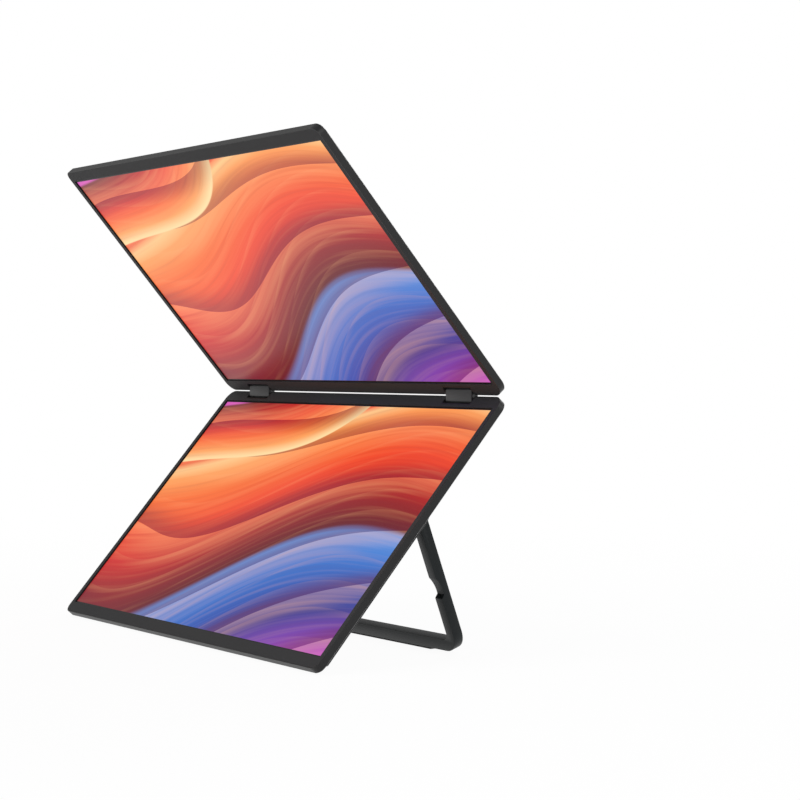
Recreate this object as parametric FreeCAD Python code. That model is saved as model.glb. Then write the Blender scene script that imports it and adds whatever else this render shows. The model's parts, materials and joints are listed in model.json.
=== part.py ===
import FreeCAD, Part
import math
import os
from FreeCAD import Placement, Rotation, Vector

# A dual stacked portable monitor: two thin displays joined by two double-axis hinges, on a folding U stand.
# Millimetres. +Z is up, the screens face -Y, and the origin is on the desk under the middle of the object.
# Each display is drawn flat in its own frame: x across, y front to back from its middle plane,
# and z along the panel from its hinge axis to its far edge.

# Displays
ACTIVE_WIDTH = 344.16
ACTIVE_HEIGHT = 193.59
SIDE_BORDER = 5.42
HINGE_BORDER = 10.5
FAR_BORDER = 9.9
PANEL_THICKNESS = 5.5
HINGE_EDGE = 2.4
HINGE_CORNER_RADIUS = 8.0
FAR_CORNER_RADIUS = 6.0
COVER_WALL = 1.2
COVER_LIP = 0.7
COVER_FLOOR = 1.2
COVER_CHAMFER = 0.7
BEZEL_THICKNESS = 0.8
WINDOW_MARGIN = 1.2
LCD_THICKNESS = 1.5
LCD_SIDE_MARGIN = 2.9
LCD_HINGE_MARGIN = 2.9
LCD_FAR_MARGIN = 4.3
STACK_GAP = 0.05
PANEL_BOARD_LENGTH = 180.0
PANEL_BOARD_WIDTH = 5.0
PANEL_BOARD_THICKNESS = 1.0

# Pose in which the object is stored: standing on a desk
PANEL_TILT = 41.0
STAND_LEAN = 20.0
EDGE_LIFT = 0.3

# Double-axis hinges
AXIS_SPACING = 8.0
HINGE_INSET = 47.0
HINGE_WIDTH = 29.0
HINGE_SIDE_GAP = 1.0
HINGE_ROUND_GAP = 1.15
HINGE_FACE_HEIGHT = 7.7
KNUCKLE_RADIUS = 2.1
HINGE_COVER_WALL = 0.5
HINGE_COVER_END = 1.0
HINGE_CHAMFER = 0.3
NOTCH_WALL = 0.9
SHAFT_RADIUS = 1.0
SHAFT_RUNNING_GAP = 0.05
SHAFT_HOLE_GAP = 0.3
SHAFT_PRESS_GAP = 0.02
SHAFT_IN_BLOCK = 22.0
SHAFT_IN_BRACKET = 12.0
BRACKET_LENGTH = 20.5
BRACKET_WIDTH = 5.9
BRACKET_THICKNESS = 2.7
BRACKET_GAP = 0.1
BRACKET_SCREW_SPACING = 12.0
HARDWARE_SIDES = 12
SCREW_RADIUS = 0.6
SCREW_HEAD_RADIUS = 1.0
SCREW_HEAD_HEIGHT = 0.6
SCREW_HOLE_GAP = 0.05
FIT_GAP = 0.1

# Rear housing of the lower display
HOUSING_SIDE_MARGIN = 16.0
HOUSING_START = 75.0
HOUSING_LENGTH = 126.0
HOUSING_HEIGHT = 10.0
HOUSING_WALL = 1.8
HOUSING_HINGE_RADIUS = 16.0
HOUSING_FAR_RADIUS = 1.5
HOUSING_EDGE_BREAK = 0.5

# Stand
PIVOT_INSET = 8.0
STAND_RIM = 9.0
LEG_WIDTH = 8.0
LEG_DEPTH = 7.2
LEG_RECESS = 0.3
STAND_OUTER_RADIUS = 13.0
STAND_INNER_RADIUS = 5.0
CHANNEL_SIDE_GAP = 0.6
CHANNEL_FLOOR_GAP = 0.2
CHANNEL_WALL = 1.0
FINGER_NOTCH_LENGTH = 14.0
FINGER_NOTCH_STEP = 2.0
FINGER_NOTCH_BULGE = 0.9
FINGER_NOTCH_DEPTH = 2.6
FINGER_NOTCH_PLACE = 52.0
STAND_PAD_LENGTH = 240.0
STAND_PAD_THICKNESS = 0.9
STAND_PAD_FRONT_INSET = 0.4
STAND_PAD_WIDTH = 4.2
PIN_RADIUS = 2.0
PIN_RUNNING_GAP = 0.05
PIN_INNER_SEAT = 1.0
PIN_OUTER_SEAT = 1.5
WASHER_RADIUS = 3.3
WASHER_THICKNESS = 0.45

# Rubber feet along the lower far edge of the rear housing
FOOT_LENGTH = 36.0
FOOT_INSET = 53.5
FOOT_WRAP = 7.0
FOOT_STAND_OUT = 1.6
FOOT_WRAP_DEPTH = 3.0
FOOT_BEVEL = 1.2

# Sockets in the side wall, by their distance from the housing's hinge-side edge
USB_PLACES = {"usb_c_socket_1": 24.0, "usb_c_socket_2": 40.0, "usb_c_socket_3": 90.0}
VIDEO_PLACES = {"video_socket_1": 59.0, "video_socket_2": 107.5}
SOCKET_CENTRE_HEIGHT = 4.7
SOCKET_HEIGHT = 3.2
USB_LENGTH = 9.0
VIDEO_LENGTH = 11.2
SOCKET_DEPTH = 7.1
SOCKET_CORNER = 1.0
SOCKET_SHELL = 0.3
SOCKET_BACK = 1.2
SOCKET_PROUD = 0.1
SOCKET_HOLE_GAP = 0.1
TONGUE_HEIGHT = 0.7
TONGUE_LENGTH_SHARE = 0.72
TONGUE_RECESS = 0.9
BOARD_THICKNESS = 1.0
PORT_BOARD_MARGIN = 1.0
PORT_BOARD_WIDTH = 5.2

# Keys in the other side wall, by their distance from the housing's hinge-side edge
KEY_PLACES = {"power_key_1": 55.0, "menu_key_1": 77.0, "menu_key_2": 84.0, "menu_key_3": 91.0, "power_key_2": 112.0}
KEY_LENGTH = 4.2
KEY_HEIGHT = 2.6
KEY_PROUD = 0.6
KEY_GAP = 0.15
KEY_CORNER = 0.5
KEY_TRAVEL = 0.4
KEY_STOP_GAP = 0.05
KEY_FLANGE = 0.6
KEY_STEM_SIZE = 1.4
KEY_STEM_LENGTH = 0.6
SWITCH_SIZE = 2.6
SWITCH_HEIGHT = 1.4
KEY_BOARD_MARGIN = 5.0
KEY_BOARD_HEIGHT = 5.4

# Main board in the rear housing
MAIN_BOARD_WIDTH = 120.0
MAIN_BOARD_LENGTH = 62.0
MAIN_BOARD_PLACE = 22.0
MAIN_BOARD_INSET = 5.0
STANDOFF_HEIGHT = 1.5
STANDOFF_SIZE = 4.8
SHIELD_WIDTH = 64.0
SHIELD_LENGTH = 36.0
SHIELD_HEIGHT = 3.0
SHIELD_WALL = 0.4

# Worked out from the values above
PANEL_WIDTH = ACTIVE_WIDTH + 2 * SIDE_BORDER
ACTIVE_START = HINGE_BORDER - HINGE_EDGE
FAR_EDGE = ACTIVE_START + ACTIVE_HEIGHT + FAR_BORDER
FRONT = -PANEL_THICKNESS / 2
BACK = PANEL_THICKNESS / 2
BEZEL_BACK = FRONT + BEZEL_THICKNESS
LCD_FRONT = BEZEL_BACK + STACK_GAP
LCD_BACK = LCD_FRONT + LCD_THICKNESS
COVER_INSIDE = BACK - COVER_FLOOR
HOUSING_BACK = BACK + HOUSING_HEIGHT
HINGE_OFFSET = PANEL_WIDTH / 2 - HINGE_INSET
HOUSING_SIDE = PANEL_WIDTH / 2 - HOUSING_SIDE_MARGIN
HOUSING_END = HOUSING_START + HOUSING_LENGTH
NOTCH_HALF = HINGE_WIDTH / 2 + HINGE_SIDE_GAP
NOTCH_END = PANEL_THICKNESS / 2 + HINGE_ROUND_GAP
SHAFT_START = HINGE_OFFSET + HINGE_WIDTH / 2 - SHAFT_IN_BLOCK
BRACKET_START = HINGE_OFFSET + NOTCH_HALF + NOTCH_WALL + BRACKET_GAP
BRACKET_LOW = COVER_LIP + BRACKET_GAP - HINGE_EDGE
STAND_PIVOT = HOUSING_START + PIVOT_INSET
LEG_OUTSIDE = HOUSING_SIDE - STAND_RIM
LEG_INSIDE = LEG_OUTSIDE - LEG_WIDTH
LEG_BACK = HOUSING_BACK - LEG_RECESS
LEG_FRONT = LEG_BACK - LEG_DEPTH
PIVOT_HEIGHT = LEG_FRONT + LEG_DEPTH / 2
CHANNEL_FLOOR = LEG_FRONT - CHANNEL_FLOOR_GAP
SOCKET_CENTRE = BACK + SOCKET_CENTRE_HEIGHT
SOCKET_LOW = SOCKET_CENTRE - SOCKET_HEIGHT / 2
KEY_FLANGE_FACE = HOUSING_SIDE - HOUSING_WALL - KEY_STOP_GAP
KEY_STEM_TIP = KEY_FLANGE_FACE - KEY_FLANGE - KEY_STEM_LENGTH
SWITCH_TOP = KEY_STEM_TIP - KEY_TRAVEL - KEY_STOP_GAP
MAIN_BOARD_START = HOUSING_START + MAIN_BOARD_PLACE

TILT_SIN = math.sin(math.radians(PANEL_TILT))
TILT_COS = math.cos(math.radians(PANEL_TILT))
LEAN_SIN = math.sin(math.radians(STAND_LEAN))
LEAN_COS = math.cos(math.radians(STAND_LEAN))
HINGE_HEIGHT = AXIS_SPACING / 2 + BACK * TILT_SIN + FAR_EDGE * TILT_COS + EDGE_LIFT
FRONT_REACH = FAR_EDGE * TILT_SIN - FRONT * TILT_COS
BACK_REACH = BACK * TILT_COS + (HINGE_EDGE - COVER_CHAMFER) * TILT_SIN
HINGE_DEPTH = (FRONT_REACH - BACK_REACH) / 2
PIVOT_DROP = AXIS_SPACING / 2 + PIVOT_HEIGHT * TILT_SIN + STAND_PIVOT * TILT_COS
LEG_REACH = (HINGE_HEIGHT - PIVOT_DROP - STAND_PAD_THICKNESS - LEG_DEPTH / 2 * LEAN_SIN) / LEAN_COS
STAND_END = STAND_PIVOT + LEG_REACH
PAD_REACH = (STAND_PAD_THICKNESS + (STAND_PAD_FRONT_INSET + STAND_PAD_WIDTH) * LEAN_SIN) * LEAN_COS

# Where each display and the hinge link stand in the object's frame
AXIS_X = Vector(1, 0, 0)
AXIS_Y = Vector(0, 1, 0)
HINGE_CENTRE = Vector(0, HINGE_DEPTH, HINGE_HEIGHT)
UPPER_PLACE = Placement(HINGE_CENTRE + Vector(0, 0, AXIS_SPACING / 2), Rotation(AXIS_X, PANEL_TILT))
LOWER_TURN = Rotation(AXIS_X, -PANEL_TILT).multiply(Rotation(AXIS_Y, 180))
LOWER_PLACE = Placement(HINGE_CENTRE - Vector(0, 0, AXIS_SPACING / 2), LOWER_TURN)
LINK_PLACE = Placement(HINGE_CENTRE, Rotation())
PIVOT_POINT = LOWER_PLACE.multVec(Vector(0, PIVOT_HEIGHT, STAND_PIVOT))
SIDES = {"left": -1, "right": 1}

parts = {}


def box(x_low, x_high, y_low, y_high, z_low, z_high):
    """Return a block between two corners."""
    return Part.makeBox(x_high - x_low, y_high - y_low, z_high - z_low, Vector(x_low, y_low, z_low))


def rod(radius, start, length, direction):
    """Return a cylinder from a start point."""
    return Part.makeCylinder(radius, length, start, direction)


def facet_rod(across_flats, start, length, direction, sides):
    """Return a prism with a regular section, for small hardware that needs no round face."""
    reach = across_flats / 2 / math.cos(math.pi / sides)
    turn = Rotation(Vector(0, 0, 1), direction)
    corners = []
    for step in range(sides + 1):
        angle = math.pi * (2 * step + 1) / sides
        corners.append(start + turn.multVec(Vector(reach * math.cos(angle), reach * math.sin(angle), 0)))
    return Part.Face(Part.makePolygon(corners)).extrude(direction * length)


def edges_along_x(shape):
    """Return the straight edges that run across the panel."""
    return [edge for edge in shape.Edges if edge.BoundBox.YLength < 1e-6 and edge.BoundBox.ZLength < 1e-6]


def edges_along_y(shape, z_place):
    """Return the straight edges that run front to back at one place along the panel."""
    found = []
    for edge in shape.Edges:
        low, high = (vertex.Point for vertex in edge.Vertexes)
        if abs(low.x - high.x) < 1e-6 and abs(low.z - high.z) < 1e-6 and abs(low.z - z_place) < 1e-6:
            found.append(edge)
    return found


def edges_on_face(shape, y_place):
    """Return the edges that lie in one plane parallel to the screen."""
    box_of = [edge for edge in shape.Edges if abs(edge.BoundBox.YMin - y_place) < 1e-6]
    return [edge for edge in box_of if abs(edge.BoundBox.YMax - y_place) < 1e-6]


def round_plate(half_width, z_low, z_high, y_low, y_high, low_radius, high_radius):
    """Return a plate parallel to the screen with its four corners rounded."""
    plate = box(-half_width, half_width, y_low, y_high, z_low, z_high)
    plate = plate.makeFillet(low_radius, edges_along_y(plate, z_low))
    return plate.makeFillet(high_radius, edges_along_y(plate, z_high))


def stadium(radius, x_low, x_high):
    """Return a bar along x with round ends about both hinge axes."""
    reach = AXIS_SPACING / 2
    bar = box(x_low, x_high, -radius, radius, -reach, reach)
    for z_place in (-reach, reach):
        bar = bar.fuse(rod(radius, Vector(x_low, 0, z_place), x_high - x_low, AXIS_X))
    return bar.removeSplitter()


def profile_bar(points, x_low, x_high):
    """Return a bar along x whose section is a polygon of (y, z) points."""
    corners = [Vector(x_low, y, z) for y, z in points]
    face = Part.Face(Part.makePolygon(corners + corners[:1]))
    return face.extrude(Vector(x_high - x_low, 0, 0))


def notch_block(extra, y_low, y_high):
    """Return the two blocks of space that the hinges take out of a display."""
    blocks = []
    for side in SIDES.values():
        middle = side * HINGE_OFFSET
        reach = NOTCH_HALF + extra
        low_end = -HINGE_EDGE - PANEL_THICKNESS
        blocks.append(box(middle - reach, middle + reach, y_low, y_high, low_end, NOTCH_END + extra))
    return blocks[0].fuse(blocks[1])


def back_cover():
    """Return a display's rear tray, with its bevelled back edge and hinge notches."""
    half = PANEL_WIDTH / 2
    tray = round_plate(half, -HINGE_EDGE, FAR_EDGE, FRONT, BACK, HINGE_CORNER_RADIUS, FAR_CORNER_RADIUS)
    tray = tray.makeChamfer(COVER_CHAMFER, edges_on_face(tray, BACK))
    tray = tray.cut(cover_pocket(COVER_LIP, FRONT - 1, BEZEL_BACK))
    tray = tray.cut(cover_pocket(COVER_WALL, BEZEL_BACK, COVER_INSIDE))
    tray = tray.cut(notch_block(0, FRONT - 1, BACK + 1))
    for side in SIDES.values():
        inside = side * (HINGE_OFFSET + NOTCH_HALF - FIT_GAP)
        hole = rod(SHAFT_RADIUS + FIT_GAP, Vector(inside, 0, 0), NOTCH_WALL + 2 * FIT_GAP, AXIS_X * side)
        tray = tray.cut(hole)
    return tray.removeSplitter()


def cover_pocket(wall, y_low, y_high):
    """Return the space inside the tray, which leaves a wall round each hinge notch."""
    hinge_radius = HINGE_CORNER_RADIUS - wall
    far_radius = FAR_CORNER_RADIUS - wall
    low_end = COVER_LIP - HINGE_EDGE
    space = round_plate(PANEL_WIDTH / 2 - wall, low_end, FAR_EDGE - wall, y_low, y_high, hinge_radius, far_radius)
    return space.cut(notch_block(NOTCH_WALL, y_low - 1, y_high + 1))


def bezel():
    """Return a display's front frame, which drops into the tray's lip."""
    inset = COVER_LIP + STACK_GAP
    hinge_radius = HINGE_CORNER_RADIUS - inset
    far_radius = FAR_CORNER_RADIUS - inset
    half = PANEL_WIDTH / 2 - inset
    plate = round_plate(half, inset - HINGE_EDGE, FAR_EDGE - inset, FRONT, BEZEL_BACK, hinge_radius, far_radius)
    plate = plate.cut(notch_block(NOTCH_WALL + STACK_GAP, FRONT - 1, BEZEL_BACK + 1))
    half_window = ACTIVE_WIDTH / 2 + WINDOW_MARGIN
    window_low = ACTIVE_START - WINDOW_MARGIN
    window_high = ACTIVE_START + ACTIVE_HEIGHT + WINDOW_MARGIN
    return plate.cut(box(-half_window, half_window, FRONT - 1, BEZEL_BACK + 1, window_low, window_high))


def screen_stack(y_low, y_high):
    """Return one flat layer behind the bezel's window."""
    half = ACTIVE_WIDTH / 2 + LCD_SIDE_MARGIN
    layer_low = ACTIVE_START - LCD_HINGE_MARGIN
    layer_high = ACTIVE_START + ACTIVE_HEIGHT + LCD_FAR_MARGIN
    return box(-half, half, y_low, y_high, layer_low, layer_high)


def panel_board():
    """Return the narrow driver board between the screen's edge and the hinge edge."""
    high = ACTIVE_START - LCD_HINGE_MARGIN - 6 * FIT_GAP
    half = PANEL_BOARD_LENGTH / 2
    back = COVER_INSIDE - 2 * FIT_GAP
    return box(-half, half, back - PANEL_BOARD_THICKNESS, back, high - PANEL_BOARD_WIDTH, high)


def bracket_screw_places(side):
    """Return the two screw axes of a hinge bracket as points in the middle plane."""
    middle = side * (BRACKET_START + BRACKET_LENGTH / 2)
    z_place = BRACKET_LOW + BRACKET_WIDTH - SCREW_HEAD_RADIUS - FIT_GAP
    reach = BRACKET_SCREW_SPACING / 2
    return [Vector(middle + step * reach, 0, z_place) for step in (-1, 1)]


def bracket(side):
    """Return the metal foot that clamps a hinge shaft to the tray."""
    ends = sorted((side * BRACKET_START, side * (BRACKET_START + BRACKET_LENGTH)))
    back = COVER_INSIDE - FIT_GAP
    front = back - BRACKET_THICKNESS
    foot = box(ends[0], ends[1], front, back, BRACKET_LOW, BRACKET_LOW + BRACKET_WIDTH)
    bore = Vector(side * (BRACKET_START - 1), 0, 0)
    foot = foot.cut(rod(SHAFT_RADIUS + SHAFT_PRESS_GAP, bore, SHAFT_IN_BRACKET + 1, AXIS_X * side))
    for place in bracket_screw_places(side):
        foot = foot.cut(screw_hole(place + Vector(0, front - 1, 0), BRACKET_THICKNESS + 2))
    return foot


def screw(seat, outward, head_radius, length):
    """Return a small screw whose head stands on its seat."""
    head = facet_rod(2 * head_radius, seat, SCREW_HEAD_HEIGHT, outward, HARDWARE_SIDES)
    across = 2 * SCREW_RADIUS * math.cos(math.pi / HARDWARE_SIDES)
    return head.fuse(facet_rod(across, seat, length, -outward, HARDWARE_SIDES))


def screw_hole(start, depth):
    """Return the clearance hole of a small screw, drilled front to back."""
    return facet_rod(2 * (SCREW_RADIUS + SCREW_HOLE_GAP), start, depth, AXIS_Y, HARDWARE_SIDES)


def bracket_screws():
    """Return the four small screws of a display's two hinge brackets."""
    head_back = COVER_INSIDE - FIT_GAP - BRACKET_THICKNESS
    screws = []
    for side in SIDES.values():
        for place in bracket_screw_places(side):
            screws.append(screw(place + Vector(0, head_back, 0), -AXIS_Y, SCREW_HEAD_RADIUS, BRACKET_THICKNESS))
    return Part.makeCompound(screws)


def shaft(side):
    """Return one hinge shaft, from inside the torque block to the end of its bracket seat."""
    end = BRACKET_START + SHAFT_IN_BRACKET - FIT_GAP
    return rod(SHAFT_RADIUS, Vector(side * SHAFT_START, 0, 0), end - SHAFT_START, AXIS_X * side)


def hinge_cover(side):
    """Return the hollow cover between the displays: a flat block with a thinner knuckle round each shaft."""
    half = HINGE_WIDTH / 2
    low, high = side * HINGE_OFFSET - half, side * HINGE_OFFSET + half
    knuckles = stadium(KNUCKLE_RADIUS, low, high)
    face = box(low, high, FRONT, BACK, -HINGE_FACE_HEIGHT / 2, HINGE_FACE_HEIGHT / 2)
    ends = [edge for edge in face.Edges if edge.BoundBox.XLength < 1e-6]
    cover = knuckles.fuse(face.makeChamfer(HINGE_CHAMFER, ends))
    inner_radius = KNUCKLE_RADIUS - HINGE_COVER_WALL
    cover = cover.cut(stadium(inner_radius, low + HINGE_COVER_END, high - HINGE_COVER_END))
    mouth = side * (HINGE_OFFSET + half - HINGE_COVER_END - 1)
    for z_place in (-AXIS_SPACING / 2, AXIS_SPACING / 2):
        start = Vector(mouth, 0, z_place)
        cover = cover.cut(rod(SHAFT_RADIUS + SHAFT_HOLE_GAP, start, HINGE_COVER_END + 2, AXIS_X * side))
    return cover


def torque_block(side):
    """Return the friction block that grips both shafts inside a hinge cover."""
    half = HINGE_WIDTH / 2 - HINGE_COVER_END - FIT_GAP
    low, high = side * HINGE_OFFSET - half, side * HINGE_OFFSET + half
    block = stadium(KNUCKLE_RADIUS - HINGE_COVER_WALL - FIT_GAP, low, high)
    for z_place in (-AXIS_SPACING / 2, AXIS_SPACING / 2):
        start = Vector(side * (SHAFT_START - 2 * FIT_GAP), 0, z_place)
        block = block.cut(rod(SHAFT_RADIUS + SHAFT_RUNNING_GAP, start, SHAFT_IN_BLOCK, AXIS_X * side))
    return block


def stand_outline(outer, inner, z_end, bar_start, y_low, y_high, z_start):
    """Return a U parallel to the screen: two legs and the bar that joins their far ends."""
    outer_radius = STAND_OUTER_RADIUS + outer - LEG_OUTSIDE
    inner_radius = STAND_INNER_RADIUS + inner - LEG_INSIDE
    frame = box(-outer, outer, y_low, y_high, z_start, z_end)
    frame = frame.makeFillet(outer_radius, edges_along_y(frame, z_end))
    gap = box(-inner, inner, y_low - 1, y_high + 1, z_start - 1, bar_start)
    gap = gap.makeFillet(inner_radius, edges_along_y(gap, bar_start))
    return frame.cut(gap)


def stand_channel(extra, floor):
    """Return the space of the stand and its rubber strip in the rear housing, grown by a wall where asked."""
    outer = LEG_OUTSIDE + CHANNEL_SIDE_GAP + extra
    inner = LEG_INSIDE - CHANNEL_SIDE_GAP - extra
    z_end = STAND_END + CHANNEL_SIDE_GAP + extra
    bar_start = STAND_END - LEG_WIDTH - CHANNEL_SIDE_GAP - extra
    channel = stand_outline(outer, inner, z_end, bar_start, floor, HOUSING_BACK + 1, HOUSING_START - 1)
    half_pad = STAND_PAD_LENGTH / 2 + CHANNEL_SIDE_GAP + extra
    return channel.fuse(box(-half_pad, half_pad, floor, HOUSING_BACK + 1, STAND_END, z_end + PAD_REACH))


def side_hole(length, height, place, side, corner):
    """Return a hole with cut corners through the rear housing's side wall."""
    low = HOUSING_SIDE - HOUSING_WALL - 1
    hole = cut_corner_bar(low, HOUSING_SIDE + 1, height, length, place, corner)
    return hole if side > 0 else hole.mirror(Vector(0, 0, 0), AXIS_X)


def rear_housing():
    """Return the raised housing behind the lower display, with the stand's channel and side holes."""
    radii = (HOUSING_HINGE_RADIUS, HOUSING_FAR_RADIUS)
    shell = round_plate(HOUSING_SIDE, HOUSING_START, HOUSING_END, BACK, HOUSING_BACK, *radii)
    shell = shell.makeChamfer(HOUSING_EDGE_BREAK, edges_on_face(shell, HOUSING_BACK))
    half = HOUSING_SIDE - HOUSING_WALL
    low, high = HOUSING_START + HOUSING_WALL, HOUSING_END - HOUSING_WALL
    room = box(-half, half, BACK - 1, HOUSING_BACK - HOUSING_WALL, low, high)
    room = room.makeFillet(HOUSING_HINGE_RADIUS - HOUSING_WALL, edges_along_y(room, low))
    room = room.cut(stand_channel(CHANNEL_WALL, CHANNEL_FLOOR - CHANNEL_WALL))
    shell = shell.cut(room).cut(stand_channel(0, CHANNEL_FLOOR))
    for places, length in ((USB_PLACES, USB_LENGTH), (VIDEO_PLACES, VIDEO_LENGTH)):
        for place in places.values():
            gap = 2 * SOCKET_HOLE_GAP
            shell = shell.cut(side_hole(length + gap, SOCKET_HEIGHT + gap, place, 1, SOCKET_CORNER))
    for place in KEY_PLACES.values():
        gap = 2 * KEY_GAP
        shell = shell.cut(side_hole(KEY_LENGTH + gap, KEY_HEIGHT + gap, place, -1, KEY_CORNER))
    for side in SIDES.values():
        reach = LEG_INSIDE - CHANNEL_SIDE_GAP - CHANNEL_WALL - 1
        length = HOUSING_SIDE - HOUSING_WALL - reach
        start = Vector(side * reach, PIVOT_HEIGHT, STAND_PIVOT)
        shell = shell.cut(rod(PIN_RADIUS + FIT_GAP, start, length, AXIS_X * side))
    return shell


def socket(length, place):
    """Return a socket's metal shell, open at the side wall and closed behind."""
    outer_end = HOUSING_SIDE + SOCKET_PROUD
    low = outer_end - SOCKET_DEPTH
    shell = cut_corner_bar(low, outer_end, SOCKET_HEIGHT, length, place, SOCKET_CORNER)
    inner_height = SOCKET_HEIGHT - 2 * SOCKET_SHELL
    inner_length = length - 2 * SOCKET_SHELL
    corner = SOCKET_CORNER - SOCKET_SHELL * (2 - math.sqrt(2))
    return shell.cut(cut_corner_bar(low + SOCKET_BACK, outer_end + 1, inner_height, inner_length, place, corner))


def cut_corner_bar(x_low, x_high, height, length, place, corner):
    """Return a bar along x at the sockets' height, with its four long edges cut."""
    low_y, high_y = SOCKET_CENTRE - height / 2, SOCKET_CENTRE + height / 2
    middle = HOUSING_START + place
    bar = box(x_low, x_high, low_y, high_y, middle - length / 2, middle + length / 2)
    return bar.makeChamfer(corner, edges_along_x(bar))


def tongue(length, place):
    """Return the contact tongue that stands in the middle of a socket."""
    x_low = HOUSING_SIDE + SOCKET_PROUD - SOCKET_DEPTH + SOCKET_BACK
    x_high = HOUSING_SIDE + SOCKET_PROUD - TONGUE_RECESS
    half_length = length * TONGUE_LENGTH_SHARE / 2
    half_height = TONGUE_HEIGHT / 2
    middle = HOUSING_START + place
    low_y, high_y = SOCKET_CENTRE - half_height, SOCKET_CENTRE + half_height
    return box(x_low, x_high, low_y, high_y, middle - half_length, middle + half_length)


def key(place):
    """Return a key: a cap through the wall, a flange behind it and a stem towards its switch."""
    cap = cut_corner_bar(-HOUSING_SIDE - KEY_PROUD, -KEY_FLANGE_FACE, KEY_HEIGHT, KEY_LENGTH, place, KEY_CORNER)
    grow = 2 * KEY_FLANGE
    flange_end = -KEY_FLANGE_FACE + KEY_FLANGE
    flange = cut_corner_bar(-KEY_FLANGE_FACE, flange_end, KEY_HEIGHT + grow, KEY_LENGTH + grow, place, KEY_CORNER)
    half = KEY_STEM_SIZE / 2
    middle = HOUSING_START + place
    stem_end = flange_end + KEY_STEM_LENGTH
    stem = box(flange_end, stem_end, SOCKET_CENTRE - half, SOCKET_CENTRE + half, middle - half, middle + half)
    return cap.fuse(flange).fuse(stem).removeSplitter()


def key_switches():
    """Return the small switches on the key board, one behind each key."""
    half = SWITCH_SIZE / 2
    low_y, high_y = SOCKET_CENTRE - half, SOCKET_CENTRE + half
    switches = []
    for place in KEY_PLACES.values():
        middle = HOUSING_START + place
        switches.append(box(-SWITCH_TOP, SWITCH_HEIGHT - SWITCH_TOP, low_y, high_y, middle - half, middle + half))
    return Part.makeCompound(switches)


def key_board():
    """Return the upright board that carries the key switches."""
    x_low = SWITCH_HEIGHT - SWITCH_TOP
    half = KEY_BOARD_HEIGHT / 2
    low_y, high_y = SOCKET_CENTRE - half, SOCKET_CENTRE + half
    z_low = HOUSING_START + min(KEY_PLACES.values()) - KEY_BOARD_MARGIN
    z_high = HOUSING_START + max(KEY_PLACES.values()) + KEY_BOARD_MARGIN
    return box(x_low, x_low + BOARD_THICKNESS, low_y, high_y, z_low, z_high)


def port_board():
    """Return the narrow board under the sockets."""
    x_low = LEG_OUTSIDE + CHANNEL_SIDE_GAP + CHANNEL_WALL + 2 * FIT_GAP
    z_low = HOUSING_START + min(USB_PLACES.values()) - USB_LENGTH / 2 - PORT_BOARD_MARGIN
    z_high = HOUSING_START + max(VIDEO_PLACES.values()) + VIDEO_LENGTH / 2 + PORT_BOARD_MARGIN
    return box(x_low, x_low + PORT_BOARD_WIDTH, SOCKET_LOW - BOARD_THICKNESS, SOCKET_LOW, z_low, z_high)


def standoff_places():
    """Return where the main board is screwed down, on the cover's back face."""
    reach = MAIN_BOARD_WIDTH / 2 - MAIN_BOARD_INSET
    z_places = (MAIN_BOARD_START + MAIN_BOARD_INSET, MAIN_BOARD_START + MAIN_BOARD_LENGTH - MAIN_BOARD_INSET)
    return [Vector(x, BACK, z) for x in (-reach, reach) for z in z_places]


def main_board():
    """Return the main board with its four screw holes."""
    half = MAIN_BOARD_WIDTH / 2
    front = BACK + STANDOFF_HEIGHT
    board = box(-half, half, front, front + BOARD_THICKNESS, MAIN_BOARD_START, MAIN_BOARD_START + MAIN_BOARD_LENGTH)
    for place in standoff_places():
        board = board.cut(screw_hole(place, HOUSING_HEIGHT))
    return board


def board_shield():
    """Return the metal can over the main board's processor."""
    half = SHIELD_WIDTH / 2
    front = BACK + STANDOFF_HEIGHT + BOARD_THICKNESS
    middle = MAIN_BOARD_START + MAIN_BOARD_LENGTH / 2
    low, high = middle - SHIELD_LENGTH / 2, middle + SHIELD_LENGTH / 2
    can = box(-half, half, front, front + SHIELD_HEIGHT, low, high)
    inner = half - SHIELD_WALL
    room_top = front + SHIELD_HEIGHT - SHIELD_WALL
    return can.cut(box(-inner, inner, front - 1, room_top, low + SHIELD_WALL, high - SHIELD_WALL))


def board_standoffs():
    """Return the four threaded standoffs under the main board."""
    posts = []
    for place in standoff_places():
        post = facet_rod(STANDOFF_SIZE, place, STANDOFF_HEIGHT, AXIS_Y, 6)
        posts.append(post.cut(screw_hole(place, STANDOFF_HEIGHT)))
    return Part.makeCompound(posts)


def board_screws():
    """Return the four screws that hold the main board."""
    under_head = STANDOFF_HEIGHT + BOARD_THICKNESS
    seats = [place + AXIS_Y * under_head for place in standoff_places()]
    return Part.makeCompound([screw(seat, AXIS_Y, 2 * SCREW_HEAD_RADIUS, under_head) for seat in seats])


def foot_pad(side):
    """Return a rubber foot that wraps the housing's lower corner and ends flat on the desk."""
    desk = HINGE_HEIGHT - AXIS_SPACING / 2
    back = HOUSING_BACK + FOOT_STAND_OUT
    inner = HOUSING_BACK - FOOT_WRAP_DEPTH
    section = [
        (HOUSING_BACK, HOUSING_END - FOOT_WRAP),
        (back, HOUSING_END - FOOT_WRAP + FOOT_BEVEL),
        (back, (desk - back * TILT_SIN) / TILT_COS),
        (inner, (desk - inner * TILT_SIN) / TILT_COS),
        (inner, HOUSING_END),
        (HOUSING_BACK - HOUSING_EDGE_BREAK, HOUSING_END),
        (HOUSING_BACK, HOUSING_END - HOUSING_EDGE_BREAK),
    ]
    middle = side * (FOOT_INSET - HOUSING_SIDE)
    return profile_bar(section, middle - FOOT_LENGTH / 2, middle + FOOT_LENGTH / 2)


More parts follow.
